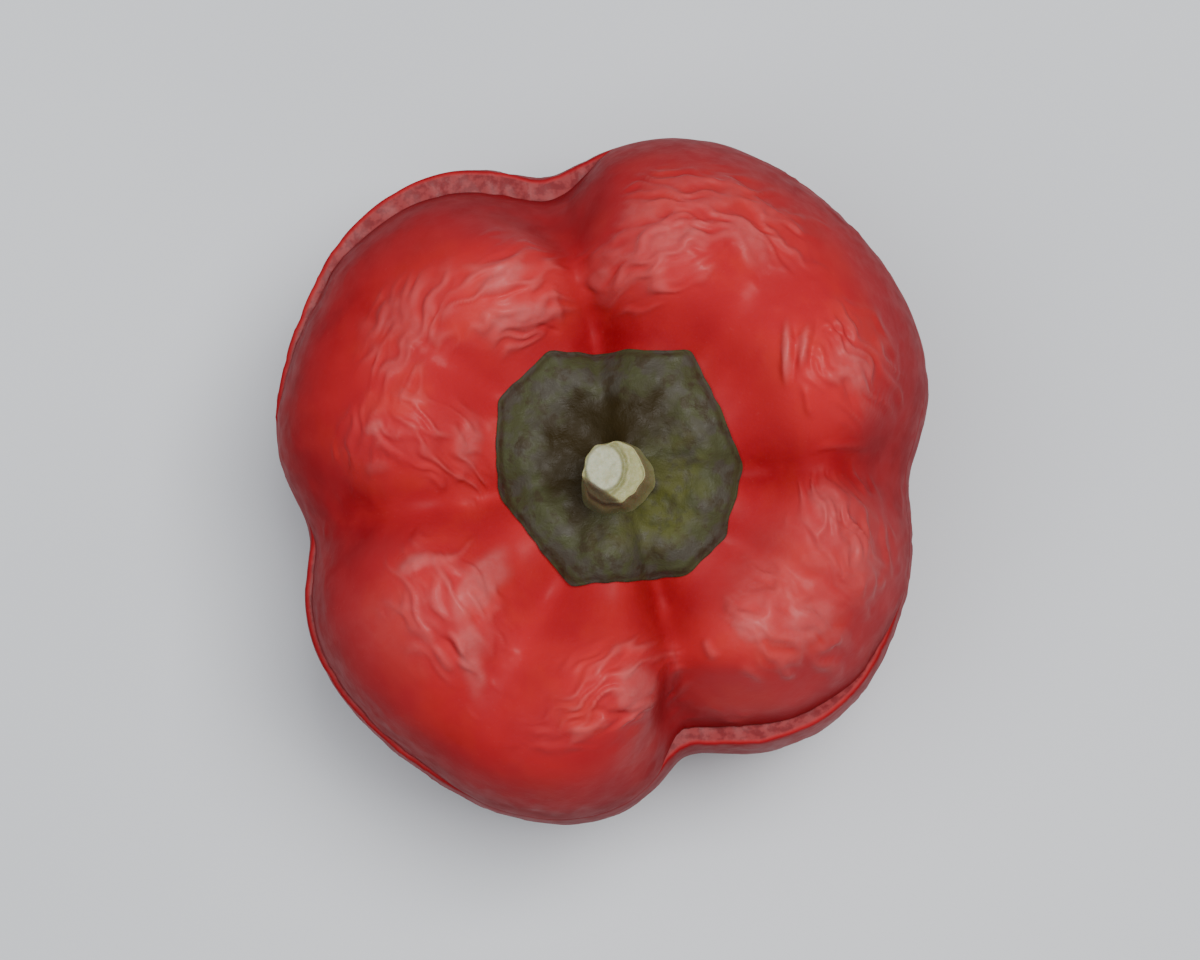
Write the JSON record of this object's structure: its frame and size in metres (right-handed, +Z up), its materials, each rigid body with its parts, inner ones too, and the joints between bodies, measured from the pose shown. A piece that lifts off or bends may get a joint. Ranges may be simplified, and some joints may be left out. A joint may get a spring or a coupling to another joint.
{
  "type": "stuffed bell pepper",
  "caption": "Roasted red stuffed bell pepper with its cut lid back on, standing on its slumped base, with wrinkled lobed shoulders, a sunken green calyx and a short cut stem.",
  "frame": {"origin": "middle of the footprint, on the surface the pepper stands on", "axes": "+Z up through the stem, +Y towards the deeper valley beside the tallest lobe, +X to the right of it seen from above"},
  "size_m": [0.0878, 0.092, 0.0799],
  "materials": {
    "roasted_skin": "satin roasted pepper skin, smooth on the sides and finely wrinkled on the shoulders",
    "calyx_green": "dull, leathery olive green mottled with grey and brown",
    "stem_pith": "dry, fibrous, pale pith inside an olive rind"
  },
  "bodies": {
    "root": {"pepper_body": "roasted_skin", "lid": "roasted_skin", "calyx": "calyx_green", "stem": "stem_pith"}
  },
  "joints": []
}
